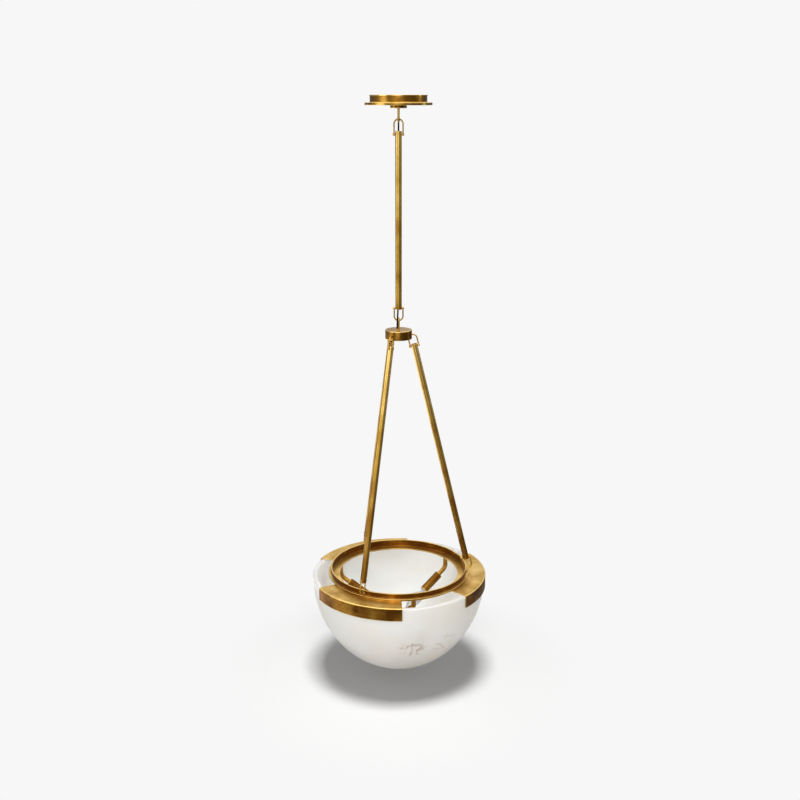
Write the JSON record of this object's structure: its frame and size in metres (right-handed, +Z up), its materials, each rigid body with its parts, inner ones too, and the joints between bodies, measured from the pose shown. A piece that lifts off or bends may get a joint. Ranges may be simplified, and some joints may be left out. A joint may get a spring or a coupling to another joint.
{
  "type": "alabaster bowl chandelier",
  "caption": "Alabaster bowl pendant in an aged brass ring, hung by lean brass rods from a hub and a pinned stem under a round ceiling canopy.",
  "frame": {"origin": "middle of the ceiling face, between the two slots of the mounting strap", "axes": "+Z up into the ceiling along the object's axis, +X along the first hanger rod, +Y away from the picture's viewer"},
  "size_m": [0.461, 0.4636, 1.4935],
  "materials": {
    "aged_brass": "burnished, dark streaky patina, worn bright on the edges",
    "steel": "zinc plated",
    "alabaster": "satin, faint brown veins",
    "black_cord": "smooth sheath",
    "terminal_plastic": "moulded",
    "seat_pad": "pale bonding pad",
    "lamp_ceramic": "unglazed",
    "bulb_metal": "rolled thread",
    "bulb_glass": "frosted"
  },
  "bodies": {
    "canopy": {"canopy": "aged_brass", "mounting_strap": "steel", "nipple": "steel", "lock_nut": "steel", "collar": "aged_brass", "canopy_loop": "aged_brass", "canopy_cord_bush": "aged_brass", "canopy_terminal_block": "terminal_plastic"},
    "upper_link": {"upper_shackle": "aged_brass", "upper_pin": "aged_brass"},
    "stem": {"stem": "aged_brass", "supply_cord": "black_cord"},
    "lower_link": {"lower_shackle": "aged_brass", "lower_pin": "aged_brass"},
    "hub": {"hub": "aged_brass", "hub_floor": "aged_brass", "hub_loop": "aged_brass", "hub_loop_nuts": "aged_brass", "hub_cord_bush": "aged_brass", "hub_terminal_block": "terminal_plastic", "rod_1_top_shackle": "aged_brass", "rod_1_top_pin": "aged_brass", "rod_2_top_shackle": "aged_brass", "rod_2_top_pin": "aged_brass", "rod_3_top_shackle": "aged_brass", "rod_3_top_pin": "aged_brass"},
    "rod_1": {"rod_1": "aged_brass", "rod_1_foot_shackle": "aged_brass", "rod_1_foot_pin": "aged_brass"},
    "rod_2": {"rod_2": "aged_brass", "rod_2_foot_shackle": "aged_brass", "rod_2_foot_pin": "aged_brass"},
    "rod_3": {"rod_3": "aged_brass", "rod_3_foot_shackle": "aged_brass", "rod_3_foot_pin": "aged_brass"},
    "bowl": {"ring": "aged_brass", "bowl": "alabaster", "rim_cap_1": "aged_brass", "rim_pad_1": "seat_pad", "lamp_1_arm": "aged_brass", "lamp_1_sleeve": "aged_brass", "lamp_1_holder": "lamp_ceramic", "lamp_1_base": "bulb_metal", "lamp_1_bulb": "bulb_glass", "rim_cap_2": "aged_brass", "rim_pad_2": "seat_pad", "lamp_2_arm": "aged_brass", "lamp_2_sleeve": "aged_brass", "lamp_2_holder": "lamp_ceramic", "lamp_2_base": "bulb_metal", "lamp_2_bulb": "bulb_glass", "rim_cap_3": "aged_brass", "rim_pad_3": "seat_pad", "lamp_3_arm": "aged_brass", "lamp_3_sleeve": "aged_brass", "lamp_3_holder": "lamp_ceramic", "lamp_3_base": "bulb_metal", "lamp_3_bulb": "bulb_glass"}
  },
  "joints": [
    {"name": "upper_hook_swing", "type": "hinge", "parent": "canopy", "child": "upper_link", "pos_m": [0, 0, -0.0613], "axis": [0, 1, 0], "range_deg": [-30, 30], "deforming": ["supply_cord"]},
    {"name": "upper_pin_swing", "type": "hinge", "parent": "upper_link", "child": "stem", "pos_m": [0, 0, -0.0922], "axis": [1, 0, 0], "range_deg": [-30, 30], "deforming": ["supply_cord"]},
    {"name": "lower_pin_swing", "type": "hinge", "parent": "stem", "child": "lower_link", "pos_m": [0, 0, -0.517], "axis": [1, 0, 0], "range_deg": [-30, 30], "deforming": ["supply_cord"]},
    {"name": "lower_hook_swing", "type": "hinge", "parent": "lower_link", "child": "hub", "pos_m": [0, 0, -0.5436], "axis": [0, 1, 0], "range_deg": [-30, 30], "deforming": ["supply_cord"]},
    {"name": "bowl_twist", "type": "hinge", "parent": "hub", "child": "bowl", "pos_m": [0, 0, -1.22089], "axis": [0, 0, 1], "range_deg": [-5, 5]},
    {"name": "rod_1_swing", "type": "hinge", "parent": "hub", "child": "rod_1", "pos_m": [0.0402, 0, -0.6131], "axis": [0.9723, 0, 0.2337], "range_deg": [-1.44, 1.44]},
    {"name": "rod_2_swing", "type": "hinge", "parent": "hub", "child": "rod_2", "pos_m": [-0.0201, 0.03481, -0.6131], "axis": [-0.4862, 0.8421, 0.2337], "range_deg": [-1.44, 1.44]},
    {"name": "rod_3_swing", "type": "hinge", "parent": "hub", "child": "rod_3", "pos_m": [-0.0201, -0.03481, -0.6131], "axis": [-0.4862, -0.8421, 0.2337], "range_deg": [-1.44, 1.44]}
  ],
  "couplings": [
    {"joint": "rod_1_swing", "follows": "bowl_twist", "ratio": 0.28713},
    {"joint": "rod_2_swing", "follows": "bowl_twist", "ratio": 0.28713},
    {"joint": "rod_3_swing", "follows": "bowl_twist", "ratio": 0.28713}
  ]
}
